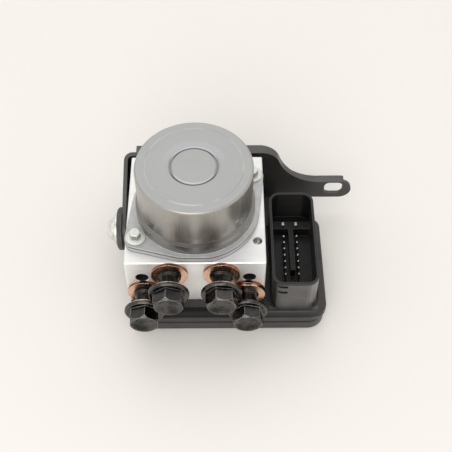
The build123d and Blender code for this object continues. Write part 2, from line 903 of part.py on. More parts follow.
def motor_shaft():
    """Shaft with its tail in the block and the eccentric pointing to the back."""
    low = pump_z - pump_ring_height / 2
    high = pump_z + pump_ring_height / 2
    shaft = turned(
        [
            (0, tail_low),
            (tail_radius, tail_low),
            (tail_radius, low),
            (shaft_radius, high),
            (shaft_radius, shaft_high - lead_in),
            (shaft_radius - lead_in, shaft_high),
            (0, shaft_high),
        ]
    )
    return shaft + post(eccentric_radius, 0, eccentric, low, high)


def eccentric_ring():
    """Needle bearing ring that rolls on the pump pistons."""
    low = pump_z - pump_ring_height / 2
    high = pump_z + pump_ring_height / 2
    outer = post(pump_ring_radius, 0, eccentric, low, high)
    return outer - post(eccentric_radius + run_clear, 0, eccentric, low, high)


def bearing(outer, low, high):
    return post(outer - seat_clear, 0, 0, low, high) - post(shaft_radius + run_clear, 0, 0, low, high)


def armature_core():
    """Stack of laminations with straight slots."""
    bore = post(shaft_radius + seat_clear, 0, 0, core_low, core_high)
    core = post(core_radius, 0, 0, core_low, core_high) - bore
    half = slot_width / 2
    slot = block(slot_inner, slot_outer, -half, half, core_low, core_high)
    slot += block(slot_outer, 2 * core_radius, -slot_mouth / 2, slot_mouth / 2, core_low, core_high)
    return core - [Rot(0, 0, 360 / slot_count * k) * slot for k in range(slot_count)]


def armature_winding():
    """Copper in the slots, with an end turn below and above the core."""
    half = slot_width / 2 - winding_clear
    inner = slot_inner + winding_clear
    outer = slot_outer - winding_clear
    low_ring = post(outer, 0, 0, winding_low, core_low) - post(inner, 0, 0, winding_low, core_low)
    high_ring = post(outer, 0, 0, core_high, winding_high) - post(inner, 0, 0, core_high, winding_high)
    leg_outer = outer - 2 * winding_clear
    leg = block(inner + winding_clear, leg_outer, -half, half, winding_low, winding_high)
    legs = [Rot(0, 0, 360 / slot_count * k) * leg for k in range(slot_count)]
    return low_ring + high_ring + legs


def commutator():
    high = commutator_low + commutator_height
    body = post(commutator_radius, 0, 0, commutator_low, high - riser_height)
    body += post(riser_radius, 0, 0, high - riser_height, high)
    body -= post(shaft_radius + seat_clear, 0, 0, commutator_low, high)
    half = segment_gap / 2
    gap = block(commutator_radius - segment_depth, 2 * riser_radius, -half, half, commutator_low, high)
    return body - [Rot(0, 0, 360 / slot_count * k) * gap for k in range(slot_count)]


# ---------------------------------------------------------------- magnets and brushes


def magnet(s):
    """Arc magnet in front of the axis for -1 and behind it for 1."""
    low = magnet_low
    high = magnet_high
    ring = post(magnet_outer, 0, 0, low, high) - post(magnet_outer - magnet_thick, 0, 0, low, high)
    edge = Rot(0, 0, magnet_arc / 2) * block(-can_radius, 0, 0, can_radius, low, high)
    keep = ring - block(-can_radius, 0, -can_radius, can_radius, low, high)
    keep = keep - edge - mirror(edge, Plane.XZ)
    return Rot(0, 0, 90 * s) * keep


def brush_plate():
    """Moulded plate on the end shield, with two brush holders and the stalk for the supply pins."""
    plate = post(brush_plate_outer, 0, 0, shield_top, plate_top)
    plate += post(stalk_radius, 0, power_pin_y, stalk_low, shield_top)
    half = brush_width / 2 + slide_clear
    low = brush_low - slide_clear
    high = brush_low + brush_height + slide_clear
    for s in (-1, 1):
        ends = sorted((s * holder_start, s * holder_end))
        inner_ends = sorted((0, s * (holder_end - holder_wall)))
        holder = block(*ends, -half - holder_wall, half + holder_wall, shield_top, high + holder_wall)
        plate += holder
        plate -= block(*inner_ends, -half, half, low, high)
    plate -= post(brush_plate_inner, 0, 0, shield_top, plate_top)
    for pin in power_pin_shapes(slide_clear):
        plate -= pin
    return plate


def power_pin_shapes(clear=0.0):
    half_x = power_pin_thick / 2 + clear
    half_y = power_pin_width / 2 + clear
    middle = power_pin_spacing / 2
    y_low = power_pin_y - half_y
    y_high = power_pin_y + half_y
    return [
        block(x - half_x, x + half_x, y_low, y_high, board_low - clear, plate_top)
        for x in (-middle, middle)
    ]


def brush(s):
    """Carbon brush whose end is hollowed to the commutator."""
    ends = sorted((0, s * (commutator_radius + brush_length)))
    half = brush_width / 2
    carbon = block(*ends, -half, half, brush_low, brush_low + brush_height)
    reach = commutator_radius + slide_clear
    return carbon - post(reach, 0, 0, brush_low, brush_low + brush_height)


def brush_spring(s):
    start = commutator_radius + brush_length
    room = holder_end - holder_wall - start
    spring = coil(brush_spring_radius, brush_spring_wire, brush_spring_turns, room)
    return place(spring, (s * start, 0, brush_low + brush_height / 2), (s, 0, 0))


# ---------------------------------------------------------------- control unit


def ecu_outline(inset=0.0, front_corner=corner_front_right):
    """Plan of the control unit: under the block, with a wing to the right."""
    corners = [
        (left, -ecu_front),
        (ecu_right, -ecu_front),
        (ecu_right, wing_back),
        (notch_x, wing_back),
        (notch_x, back),
        (left, back),
    ]
    radii = [corner_small, front_corner, corner_back_right, corner_small, corner_small, corner_small]
    outline = make_face(FilletPolyline(*corners, radius=radii, close=True))
    return offset(outline, -inset, kind=Kind.INTERSECTION) if inset else outline


def socket_outline(inset=0.0):
    width = socket_right - socket_left - 2 * inset
    depth = socket_front + socket_back - 2 * inset
    middle = ((socket_left + socket_right) / 2, (socket_back - socket_front) / 2)
    return Pos(*middle) * RectangleRounded(width, depth, socket_corner - inset)


def terminal_shapes(clear=0.0):
    """Signal pins in two columns, and a wide blade behind each column."""
    half = terminal_width / 2 + clear
    low = board_low - clear
    shapes = []
    for x in terminal_columns:
        for k in range(terminal_rows):
            y = terminal_front + k * terminal_pitch
            shapes.append(block(x - half, x + half, y - half, y + half, low, terminal_top))
        half_x = power_blade_thick / 2 + clear
        half_y = power_blade_width / 2 + clear
        y_low = power_blade_y - half_y
        y_high = power_blade_y + half_y
        shapes.append(block(x - half_x, x + half_x, y_low, y_high, low, terminal_top))
    return shapes


def connector_pins():
    tip = terminal_width / 4
    return [chamfer(pin.faces().sort_by(Axis.Z)[-1].edges(), tip) for pin in terminal_shapes()]


def window_outline(margin=0.0):
    width = 2 * (window_half_x + margin)
    depth = window_back - window_front + 2 * margin
    return Pos(0, (window_front + window_back) / 2) * RectangleRounded(width, depth, window_corner + margin)


def seal_outline(inset=0.0):
    return window_outline(seal_margin + seal_width - inset) - window_outline(seal_margin + inset)


def socket_shell():
    """Plug socket with its centre rib, a step and two plain recesses in the front wall."""
    rim = floor_z + socket_height
    shell = slab(socket_outline(), floor_z, rim) - slab(socket_outline(socket_wall), socket_base, rim)
    rib_right = terminal_columns[1] - socket_rib_gap
    step_top = socket_base + socket_step_height
    step_front = step_middle - socket_step_depth / 2
    step_back = step_middle + socket_step_depth / 2
    rib_front = socket_rib_start - socket_front
    shell += block(rib_right - socket_rib, rib_right, rib_front, step_middle, socket_base, step_top)
    shell += block(socket_left, socket_right, step_front, step_back, socket_base, step_top)
    start = socket_left + socket_corner / 2
    y_in = slot_recess - socket_front
    for drop in slot_recess_drops:
        high = rim - drop
        low = high - slot_recess_height
        shell -= block(start, start + slot_recess_width, -socket_front, y_in, low, high)
    return shell


def ecu_housing():
    """Moulded housing: roof, walls, tongue for the cover, screw pillars, board posts and socket."""
    shell = slab(ecu_outline(ecu_ledge, corner_front_right_roof), ledge_z, floor_z)
    shell = chamfer(shell.faces().sort_by(Axis.Z)[-1].edges(), ecu_top_edge)
    shell += slab(ecu_outline(), housing_low, ledge_z)
    shell -= slab(ecu_outline(ecu_wall), housing_low, roof_low)
    tongue = slab(ecu_outline(cover_skirt + tongue_clear), cover_plate, housing_low)
    shell += tongue - slab(ecu_outline(ecu_wall), cover_plate, housing_low)
    for x, y in ecu_screw_places:
        shell += post(pillar_radius, x, y, pillar_low, roof_low)
    for x, y in board_posts:
        shell += post(board_post_radius, x, y, board_top, roof_low)
    shell -= slab(window_outline(), roof_low, floor_z)
    shell -= slab(seal_outline(), floor_z - seal_depth, floor_z)
    for x, y in ecu_screw_places:
        shell -= post(ecu_screw_hole, x, y, pillar_low, floor_z)
    moat = slab(socket_outline(-moat_width) - socket_outline(), floor_z - moat_depth, floor_z)
    shell -= moat - block(right, ecu_right, socket_back - moat_end, back, roof_low, floor_z)
    shell += socket_shell()
    return shell - terminal_shapes(slide_clear)


def ecu_cover():
    plate = slab(ecu_outline(ecu_ledge), 0, cover_height)
    plate = chamfer(plate.faces().sort_by(Axis.Z)[0].edges(), cover_edge)
    return plate - slab(ecu_outline(cover_skirt), cover_plate, cover_height)


def ecu_seal():
    return slab(seal_outline(slide_clear), floor_z - seal_depth, floor_z)


def circuit_board():
    inner = ecu_wall + board_margin
    wing = block(-board_half_x, ecu_right, -ecu_front, wing_back - inner, board_low, board_top)
    board = wing + block(-board_half_x, board_half_x, -ecu_front, board_back, board_low, board_top)
    board = board & slab(ecu_outline(inner), board_low, board_top)
    head_gap = ecu_screw_head_radius + board_margin
    board -= post(head_gap, ecu_screw_x, ecu_screw_front_y, board_low, board_top)
    for pin in terminal_shapes(slide_clear) + power_pin_shapes(slide_clear):
        board -= pin
    return board


def ecu_screw(x, y):
    thread = ecu_screw_thread / 2 - thread_clear
    head_low = pillar_low - ecu_screw_head
    screw = post(thread, x, y, pillar_low, floor_z + ecu_screw_depth)
    head = post(ecu_screw_head_radius, x, y, head_low, pillar_low)
    recess = RegularPolygon(ecu_screw_head_radius / 2, 6)
    head -= Pos(x, y) * slab(recess, head_low, head_low + ecu_screw_recess)
    return screw + head


# ---------------------------------------------------------------- bracket


def bracket_outline():
    """Front view of the back wall and its tab, as corners of X and height."""
    tab_top = tab_middle + tab_height / 2
    tab_low = tab_middle - tab_height / 2
    valley = (valley_x, valley_z)
    shoulder = (shoulder_x, shoulder_z)
    share = shoulder_radius / arc_reach
    meet = (
        shoulder[0] + (valley[0] - shoulder[0]) * share,
        shoulder[1] + (valley[1] - shoulder[1]) * share,
    )
    steep = degrees(asin((valley_z - shoulder_z) / arc_reach))
    shoulder_mid = polar(shoulder, shoulder_radius, (90 + steep) / 2)
    valley_mid = polar(valley, valley_radius, 180 + (90 + steep) / 2)
    low_point = (valley_x, tab_top)
    end_x = tab_end - tab_height / 2
    edges = [
        Line((wall_left, wall_low), (wall_left, top_z)),
        Line((wall_left, top_z), (shoulder_x, top_z)),
        ThreePointArc((shoulder_x, top_z), shoulder_mid, meet),
        ThreePointArc(meet, valley_mid, low_point),
        Line(low_point, (end_x, tab_top)),
        ThreePointArc((end_x, tab_top), (tab_end, tab_middle), (end_x, tab_low)),
        Line((end_x, tab_low), (right + tab_slope_run, tab_low)),
        Line((right + tab_slope_run, tab_low), (right + wall_foot, wall_low)),
        Line((right + wall_foot, wall_low), (wall_left, wall_low)),
    ]
    return make_face(edges)


def polar(centre, radius, angle):
    """Point on a circle at an angle in degrees."""
    return (centre[0] + radius * cos(radians(angle)), centre[1] + radius * sin(radians(angle)))


def arm_outline():
    """Side view of the left arm, as Y and height: a round eye on a widening strap."""
    centre = (left_bolt_y, left_bolt_z)
    rise = sin(radians(arm_slope)) / cos(radians(arm_slope))
    tangent = polar(centre, arm_end_radius, 90 + arm_slope)
    far = wall_back
    top_far = tangent[1] + (far - tangent[0]) * rise
    eye = Pos(*centre) * Circle(arm_end_radius)
    eye_bottom = (left_bolt_y, left_bolt_z - arm_end_radius)
    strap = make_face(Polyline(tangent, (far, top_far), (far, wall_low), eye_bottom, close=True))
    return eye + strap


def lip_plan(start, end):
    """Plan of the lip behind the wall: deep over the wall, shallow on the slope, wider on the tab."""
    front_edge = wall_back - sheet
    slope_x = (shoulder_x + valley_x) / 2
    return make_face(
        Polyline(
            (start, front_edge),
            (start, front_edge + lip_depth),
            (shoulder_x, front_edge + lip_depth),
            (slope_x, front_edge + lip_depth_slope),
            (valley_x, front_edge + lip_depth_tab),
            (end, front_edge + lip_depth_tab),
            (end, front_edge),
            close=True,
        )
    )


def bracket():
    path = FilletPolyline(
        (arm_mid, -block_depth), (arm_mid, wall_mid), (2 * tab_end, wall_mid), radius=bend_radius
    )
    strip = slab(trace(path, line_width=sheet), 0, 2 * top_z)
    wall_mask = extrude(Plane.XZ.offset(-wall_back) * bracket_outline(), sheet + bend_radius)
    arm_mask = extrude(Plane.YZ.offset(arm_mid - sheet) * arm_outline(), wall_left - arm_mid + sheet)
    body = strip & (wall_mask + arm_mask)
    outline = bracket_outline()
    band = outline - offset(outline, -sheet, kind=Kind.INTERSECTION)
    lip_start = left - lip_overhang
    lip_end = tab_end - lip_end_inset
    lip_low = tab_middle + tab_height / 2 - sheet - lip_band
    lip_high = top_z + lip_band
    wall_lip_low = top_z - sheet - lip_band
    lip_region = make_face(
        Polyline(
            (lip_start, lip_high),
            (lip_start, wall_lip_low),
            (shoulder_x, wall_lip_low),
            (shoulder_x, lip_low),
            (lip_end, lip_low),
            (lip_end, lip_high),
            close=True,
        )
    )
    lip = extrude(Plane.XZ.offset(-wall_back) * (band & lip_region), sheet - lip_depth)
    body += lip & slab(lip_plan(lip_start, lip_end), 0, 2 * top_z)
    tab_slot = Pos(slot_x, slot_z) * RectangleRounded(slot_length, slot_height, slot_corner)
    body -= extrude(Plane.XZ.offset(-wall_back) * tab_slot, sheet)
    body -= bar(grommet_hole_radius, (arm_mid - sheet, left_bolt_y, left_bolt_z), (1, 0, 0), 2 * sheet)
    for s in (-1, 1):
        behind = (s * back_bolt_x, wall_back + sheet, back_bolt_z)
        body -= bar(grommet_hole_radius, behind, (0, -1, 0), 3 * sheet)
    return body


def rubber_grommet():
    """Grommet along +Z from the block's face: pad, neck in the sheet, outer flange."""
    neck = grommet_hole_radius - slide_clear
    bore = sleeve_outer + slide_clear
    edge = grommet_flange / 3
    return turned(
        [
            (bore, 0),
            (grommet_pad_radius, 0),
            (grommet_pad_radius, rubber_gap),
            (neck, rubber_gap),
            (neck, rubber_gap + sheet),
            (grommet_flange_radius, rubber_gap + sheet),
            (grommet_flange_radius, grommet_top - edge),
            (grommet_flange_radius - edge, grommet_top),
            (bore, grommet_top),
        ]
    )


def spacer_sleeve():
    return post(sleeve_outer, 0, 0, 0, grommet_top) - post(sleeve_inner, 0, 0, 0, grommet_top)


def bracket_bolt():
    """Hexagon screw along +Z with a domed head, its flange on the sleeve's end."""
    radius = bracket_bolt_thread / 2 - thread_clear
    seat = grommet_top + bracket_bolt_flange
    shank = turned(
        [
            (0, -bracket_bolt_depth),
            (radius - lead_in, -bracket_bolt_depth),
            (radius, lead_in - bracket_bolt_depth),
            (radius, grommet_top),
            (bracket_bolt_flange_radius, grommet_top),
            (bracket_bolt_flange_radius, seat - bracket_bolt_flange_bevel),
            (bracket_bolt_flange_radius - bracket_bolt_flange_bevel, seat),
            (0, seat),
        ]
    )
    corner = bracket_bolt_flats / sqrt(3)
    dome_ball = (corner**2 + bracket_bolt_dome**2) / (2 * bracket_bolt_dome)
    dome = Pos(0, 0, seat + bracket_bolt_dome - dome_ball) * Sphere(dome_ball)
    head = slab(RegularPolygon(corner, 6), seat, seat + bracket_bolt_dome)
    return shank + (head & dome)


def at_grommets(shape):
    """One copy of a shape drawn about +Z at each of the three mounting points."""
    return {
        "left": place(shape, (left, left_bolt_y, left_bolt_z), (-1, 0, 0)),
        "back_left": place(shape, (-back_bolt_x, back, back_bolt_z), (0, 1, 0)),
        "back_right": place(shape, (back_bolt_x, back, back_bolt_z), (0, 1, 0)),
    }


# ---------------------------------------------------------------- the assembly

parts["hydraulic_block"] = hydraulic_block()
parts["ball_plugs"] = ball_plugs()
parts["banjo_bolts"] = banjo_bolts()
parts["copper_washers"] = copper_washers()

for side, s in sides.items():
    parts["pump_piston_" + side] = pump_piston(s)
    parts["pump_sleeve_" + side] = pump_sleeve(s)
    parts["pump_spring_" + side] = pump_spring(s)
    parts["pump_plug_" + side] = pump_plug(s)
    parts["accumulator_cap_" + side] = accumulator_cap(s)
    parts["accumulator_piston_" + side] = accumulator_piston_cup(s)
    parts["accumulator_spring_" + side] = accumulator_spring(s)
    parts["brush_" + side] = brush(s)
    parts["brush_spring_" + side] = brush_spring(s)

for number, (x, y) in enumerate(valve_places, start=1):
    parts[f"valve_body_{number}"] = valve_body(x, y)
    parts[f"valve_armature_{number}"] = valve_armature(x, y)
parts["valve_coils"] = valve_coils()

parts["motor_can"] = motor_can()
parts["motor_end_shield"] = end_shield()
parts["motor_seal"] = motor_seal()
parts["motor_screws"] = [motor_screw(x, y) for x, y in screw_places]
parts["motor_shaft"] = motor_shaft()
parts["eccentric_ring"] = eccentric_ring()
parts["flange_bearing"] = bearing(flange_bearing_radius, bearing_low, bearing_top)
parts["top_bearing"] = bearing(top_bearing_radius, crown_z - top_bearing_width, crown_z)
parts["armature_core"] = armature_core()
parts["armature_winding"] = armature_winding()
parts["commutator"] = commutator()
parts["magnet_front"] = magnet(-1)
parts["magnet_back"] = magnet(1)
parts["brush_plate"] = brush_plate()
parts["motor_supply_pins"] = power_pin_shapes()

parts["ecu_housing"] = ecu_housing()
parts["ecu_cover"] = ecu_cover()
parts["ecu_seal"] = ecu_seal()
parts["circuit_board"] = circuit_board()
parts["connector_pins"] = connector_pins()
parts["ecu_screws"] = [ecu_screw(x, y) for x, y in ecu_screw_places]

parts["bracket"] = bracket()
for place_name, grommet in at_grommets(rubber_grommet()).items():
    parts["rubber_grommet_" + place_name] = grommet
parts["spacer_sleeves"] = list(at_grommets(spacer_sleeve()).values())
parts["bracket_bolts"] = list(at_grommets(bracket_bolt()).values())

os.makedirs("parts", exist_ok=True)
for name, shape in parts.items():
    solids = shape if isinstance(shape, list) else [shape]
    whole = Compound(children=solids) if len(solids) > 1 else solids[0]
    export_step(whole, f"parts/{name}.step")
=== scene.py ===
import json
import math
from collections import namedtuple

import bmesh
import bpy
from mathutils import Matrix, Vector


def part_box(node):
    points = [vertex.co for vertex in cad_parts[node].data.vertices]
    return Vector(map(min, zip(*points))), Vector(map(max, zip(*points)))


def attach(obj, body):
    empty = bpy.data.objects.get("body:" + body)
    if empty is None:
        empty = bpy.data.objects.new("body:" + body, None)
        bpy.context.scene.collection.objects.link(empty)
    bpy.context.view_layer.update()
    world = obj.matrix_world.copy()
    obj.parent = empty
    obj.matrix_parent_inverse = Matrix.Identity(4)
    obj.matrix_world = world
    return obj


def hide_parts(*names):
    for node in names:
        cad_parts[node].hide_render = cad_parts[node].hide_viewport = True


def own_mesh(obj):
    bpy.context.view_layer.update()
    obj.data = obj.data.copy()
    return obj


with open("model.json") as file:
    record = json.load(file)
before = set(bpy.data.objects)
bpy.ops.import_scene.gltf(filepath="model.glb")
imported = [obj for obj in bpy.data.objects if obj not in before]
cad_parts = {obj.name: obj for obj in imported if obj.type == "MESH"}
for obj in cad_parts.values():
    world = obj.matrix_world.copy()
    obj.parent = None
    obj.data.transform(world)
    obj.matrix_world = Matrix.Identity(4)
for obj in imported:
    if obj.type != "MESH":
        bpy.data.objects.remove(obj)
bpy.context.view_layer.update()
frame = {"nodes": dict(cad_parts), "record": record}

# Looks of an ABS brake module: finishes for the imported solids, two wound springs in place of
# the CAD ones, a pale floor and soft light. Metres, in the CAD frame: the origin is on the
# control unit's underside below the motor's axis, +Z is up, -Y is towards the brake line ports.

MM = 0.001
X, Y, Z = range(3)

# Levels
BLOCK_TOP = 44.5 * MM
FLANGE_LOW = 47.1 * MM  # underside of the can's flange
FLANGE_TOP = 48.2 * MM
RING_TOP = 53.1 * MM  # the can's wider foot
RING_BEVEL_TOP = 54.3 * MM
LID_LOW = 73.2 * MM  # where the can's wall turns into its lid
SCREW_LOW = 48.3 * MM  # the motor screws above the flange
SCREW_HIGH = 60.0 * MM
EDGE_SHADOW_LINE = 0.35 * MM  # width of a painted shadow line under an edge of sheet

# The can's wall and lid
REFLECTION_BLOTCHES_LOW, REFLECTION_BLOTCHES_HIGH = 56 * MM, 68 * MM  # the wall's painted dark reflections fade out between these
PALER_LOW, PALER_HIGH = 58 * MM, 74 * MM  # the wall gets paler between these
FOOT_DARK, FOOT_PALE = 6 * MM, 15 * MM  # the foot gets paler between these, to either side: painted shade at its front
# The crease is painted: a highlight on its front slope, shade on its back slope and a shade line
# along it.
CREASE_RADIUS = 9.8 * MM
CREASE_HALF = 1.2 * MM
CREASE_LINE = 0.3 * MM
HALO_RADIUS = 12.0 * MM  # painted highlight: a pale ring round the crease
HALO_HALF = 2.2 * MM
HALO_FRONT, HALO_BACK = -2 * MM, 8 * MM  # it comes up between these
# Painted highlights on the lid's step and round its rim.
STEP_RADIUS = 20.6 * MM
STEP_HALF = 0.5 * MM
RIM_RADIUS = 23.5 * MM

# The block's front face and what stands in it
FRONT = -27.7 * MM
THREAD_SEEN = 2.4 * MM  # thread of the banjo bolts outside the block
THREAD_PITCH = 1.0 * MM
NECK_END = -37.4 * MM  # underside of the banjo bolts' flanges
FLANGE_END = -39.3 * MM  # their far side
FAR_RINGS = -29.6 * MM  # sealing rings against the block lie behind this
MOUNT_X = 23.1 * MM  # plain holes, painted dark as shade in the block
MOUNT_Z = 33.5 * MM
MOUNT_RADIUS = 2.8 * MM


def grey(value):
    return (value, value, value)


def brighter(colour, factor):
    return tuple(min(1.0, factor * channel) for channel in colour)


# ---------------------------------------------------------------- tones, painted light and painted shade of the control unit

# A box where a moulded finish has another tone, for some of them painted light or painted shade:
# its extents along x, y and z in millimetres, the tone, the roughness, and the share of the pale
# edges (wear and painted highlight) that is kept. Later boxes cover earlier ones.
Patch = namedtuple("Patch", "x y z tone roughness edge_kept", defaults=(1.0,))

UNIT_LEFT, UNIT_RIGHT = -31.0, 60.0  # just outside the control unit
UNIT_FRONT = (-36.0, -33.0)  # its front face
ROOF_FRONT = (-36.0, -31.6)  # the same with the front strip of its roof
BOLTS_RIGHT = 30.5  # the banjo bolts stand left of this
SOCKET_X = (32.0, 54.0)  # the whole socket
SOCKET_NEAR = -33.0  # just ahead of it
SOCKET_RIM = 33.6
INSIDE_X = (34.2, 52.1)
INSIDE_Z = (15.3, SOCKET_RIM)
CORNER_Y = (SOCKET_NEAR, -27.1)
RECESS_X, RECESS_Y = (35.4, 39.6), (-32.4, -31.4)

HOUSING_PATCHES = (
    # The socket's rim, its front wall lightened as a painted sheen, then the wall's right corner,
    # paler in two steps as a painted highlight
    Patch(SOCKET_X, (SOCKET_NEAR, 18.4), (SOCKET_RIM, 35.5), (0.016, 0.0155, 0.0155), 0.5),
    Patch(SOCKET_X, (SOCKET_NEAR, -31.2), (11.5, SOCKET_RIM), (0.078, 0.075, 0.072), 0.34),
    Patch((48.2, SOCKET_X[1]), CORNER_Y, (17.0, SOCKET_RIM), (0.096, 0.093, 0.09), 0.34),
    Patch((49.7, SOCKET_X[1]), CORNER_Y, (19.0, SOCKET_RIM), (0.15, 0.146, 0.142), 0.34),
    # Painted shade in its inside, narrower between the front corners, and on its floor
    Patch(INSIDE_X, (-29.5, 16.6), INSIDE_Z, grey(0.006), 0.55),
    Patch((34.9, 51.3), (-31.0, -29.5), INSIDE_Z, grey(0.006), 0.55),
    Patch(INSIDE_X, (-30.0, 5.0), (INSIDE_Z[0], 18.4), (0.0125, 0.0123, 0.0125), 0.5),
    # Painted shade at the two recesses in its front wall
    Patch(RECESS_X, RECESS_Y, (31.4, 33.0), grey(0.004), 0.6, 0.0),
    Patch(RECESS_X, RECESS_Y, (27.2, 28.8), grey(0.004), 0.6, 0.0),
    # Painted shade on the unit's front beside the bolts, a painted highlight on its ledge, and the
    # bolts' painted shadow on its front and roof behind them
    Patch((BOLTS_RIGHT, UNIT_RIGHT), UNIT_FRONT, (10.9, 14.8), (0.012, 0.0115, 0.0115), 0.5),
    Patch((UNIT_LEFT, UNIT_RIGHT), UNIT_FRONT, (7.9, 10.8), (0.034, 0.033, 0.034), 0.36),
    Patch((UNIT_LEFT, BOLTS_RIGHT), ROOF_FRONT, (10.9, 15.4), (0.004, 0.004, 0.0042), 0.7, 0.15),
)
# The dark line along the cover's front
COVER_PATCHES = (Patch((UNIT_LEFT, UNIT_RIGHT), UNIT_FRONT, (5.6, 6.7), grey(0.01), 0.5, 0.3),)


# ---------------------------------------------------------------- node helpers


class Nodes:
    """One node tree, with short calls for the nodes used here."""

    def __init__(self, tree):
        self.tree = tree

    def node(self, kind, values=(), **settings):
        made = self.tree.nodes.new("ShaderNode" + kind)
        for key, value in settings.items():
            setattr(made, key, value)
        for key, value in dict(values).items():
            self.feed(made.inputs[key], value)
        return made

    def feed(self, socket, value):
        """Links an output to a socket, or sets the socket to a number, vector or colour."""
        if isinstance(value, bpy.types.NodeSocket):
            self.tree.links.new(value, socket)
        else:
            socket.default_value = (*value, 1.0) if socket.type == "RGBA" else value

    def math(self, operation, a, b=0.0, clamp=False):
        return self.node("Math", {0: a, 1: b}, operation=operation, use_clamp=clamp).outputs[0]

    def span(self, value, low, high, to_low=0.0, to_high=1.0, ease="SMOOTHSTEP"):
        """A value taken from one range to another."""
        values = {"Value": value, "From Min": low, "From Max": high}
        values.update({"To Min": to_low, "To Max": to_high})
        return self.node("MapRange", values, interpolation_type=ease).outputs["Result"]

    def mix(self, share, first, second):
        """Plain numbers mixed by a share."""
        return self.node("Mix", {0: share, 2: first, 3: second}, data_type="FLOAT").outputs[0]

    def blend(self, share, first, second):
        """Colours mixed by a share."""
        return self.node("Mix", {0: share, 6: first, 7: second}, data_type="RGBA").outputs[2]


class Finish(Nodes):
    """One material, with calls for places, noises, masks, tones, roughness and relief."""

    def __init__(self, name, metallic=0.0, roughness=0.5, specular=0.5):
        self.material = bpy.data.materials.new(name)
        self.material.use_nodes = True
        super().__init__(self.material.node_tree)
        self.shader = self.tree.nodes["Principled BSDF"]
        self.set("Metallic", metallic)
        self.set("Roughness", roughness)
        self.set("Specular IOR Level", specular)

    def set(self, name, value):
        self.feed(self.shader.inputs[name], value)

    def place(self, stretch=(1, 1, 1), offset=(0, 0, 0)):
        """Position in the CAD frame, scaled per axis."""
        coords = self.node("TexCoord").outputs["Object"]
        mapping = self.node("Mapping", {"Vector": coords, "Scale": stretch, "Location": offset})
        return mapping.outputs["Vector"]

    def position(self, axis):
        return self.node("SeparateXYZ", {"Vector": self.place()}).outputs[axis]

    def reach(self, axis, centre=(0, 0, 0)):
        """Distance from a line along an axis through a point."""
        moved = self.place(offset=tuple(-c for c in centre))
        across = tuple(0 if k == axis else 1 for k in range(3))
        flat = self.node("VectorMath", {0: moved, 1: across}, operation="MULTIPLY").outputs[0]
        return self.node("VectorMath", {0: flat}, operation="LENGTH").outputs["Value"]

    def texture(self, place, scale, detail, roughness):
        """Noise, its scale in waves a metre."""
        values = {"Vector": place, "Scale": scale, "Detail": detail, "Roughness": roughness}
        return self.node("TexNoise", values).outputs["Fac"]

    def noise(self, scale, detail=4.0, stretch=(1, 1, 1), offset=(0, 0, 0)):
        return self.texture(self.place(stretch, offset), scale, detail, 0.55)

    def around(self, scale, detail=3.0):
        """Noise in circles about the motor's axis: it varies with radius and height only."""
        section = self.node("CombineXYZ", {0: self.reach(Z), 1: self.position(Z)}).outputs[0]
        return self.texture(section, scale, detail, 0.6)

    def ridges(self, axis, pitch):
        """Sine ridges across an axis."""
        return self.math("SINE", self.math("MULTIPLY", self.position(axis), 2 * math.pi / pitch))

    def all_of(self, mask, *others):
        """1 where all masks are 1. The calls from here to edges each give such a mask."""
        for other in others:
            mask = self.math("MULTIPLY", mask, other)
        return mask

    def above(self, axis, low):
        return self.math("GREATER_THAN", self.position(axis), low)

    def below(self, axis, high):
        return self.math("LESS_THAN", self.position(axis), high)

    def along(self, axis, low, high):
        """Between two positions on an axis."""
        return self.all_of(self.above(axis, low), self.below(axis, high))

    def box(self, *extents):
        """Inside a box, given as its extents along x, y and z in millimetres."""
        sides = [self.along(axis, low * MM, high * MM) for axis, (low, high) in enumerate(extents)]
        return self.all_of(*sides)

    def ring(self, radius, half):
        """On a circle about the motor's axis, fading out at half a width from it."""
        off = self.math("ABSOLUTE", self.math("SUBTRACT", self.reach(Z), radius))
        return self.span(off, 0.4 * half, half, 1.0, 0.0)

    def facing(self, axis, low, high):
        """Fading in as a face's normal goes from the low share of an axis to the high one."""
        normal = self.node("NewGeometry").outputs["True Normal"]
        return self.span(self.node("SeparateXYZ", {"Vector": normal}).outputs[axis], low, high)

    def edges(self, radius, sharpness=3.0):
        """On the object's sharp edges."""
        soft = self.node("Bevel", {"Radius": radius}, samples=6).outputs["Normal"]
        true = self.node("NewGeometry").outputs["Normal"]
        same = self.node("VectorMath", {0: soft, 1: true}, operation="DOT_PRODUCT").outputs["Value"]
        return self.math("MULTIPLY", self.math("SUBTRACT", 1.0, same), sharpness, clamp=True)

    def wander(self, noise, first, second, low=0.3, high=0.7):
        """Colour that goes from one tone to another with a noise."""
        return self.blend(self.span(noise, low, high), first, second)

    def over(self, tone, mask, colour, share=1.0):
        """A tone with a share of a colour laid over it where a mask is 1."""
        if share < 1.0:
            mask = self.math("MULTIPLY", mask, share)
        return self.blend(mask, tone, colour)

    def gloss(self, noise, first, second, low=0.25, high=0.75):
        """Roughness that goes from one value to another with a noise."""
        self.set("Roughness", self.span(noise, low, high, first, second))

    def bump(self, *layers, round_edge=0.0):
        """Height layers of (value, strength, depth), over edges rounded to a radius."""
        normal = None
        if round_edge:
            normal = self.node("Bevel", {"Radius": round_edge}, samples=6).outputs["Normal"]
        for value, strength, depth in layers:
            made = self.node("Bump", {"Height": value, "Strength": strength, "Distance": depth})
            if normal is not None:
                self.feed(made.inputs["Normal"], normal)
            normal = made.outputs["Normal"]
        self.set("Normal", normal)


# ---------------------------------------------------------------- finishes


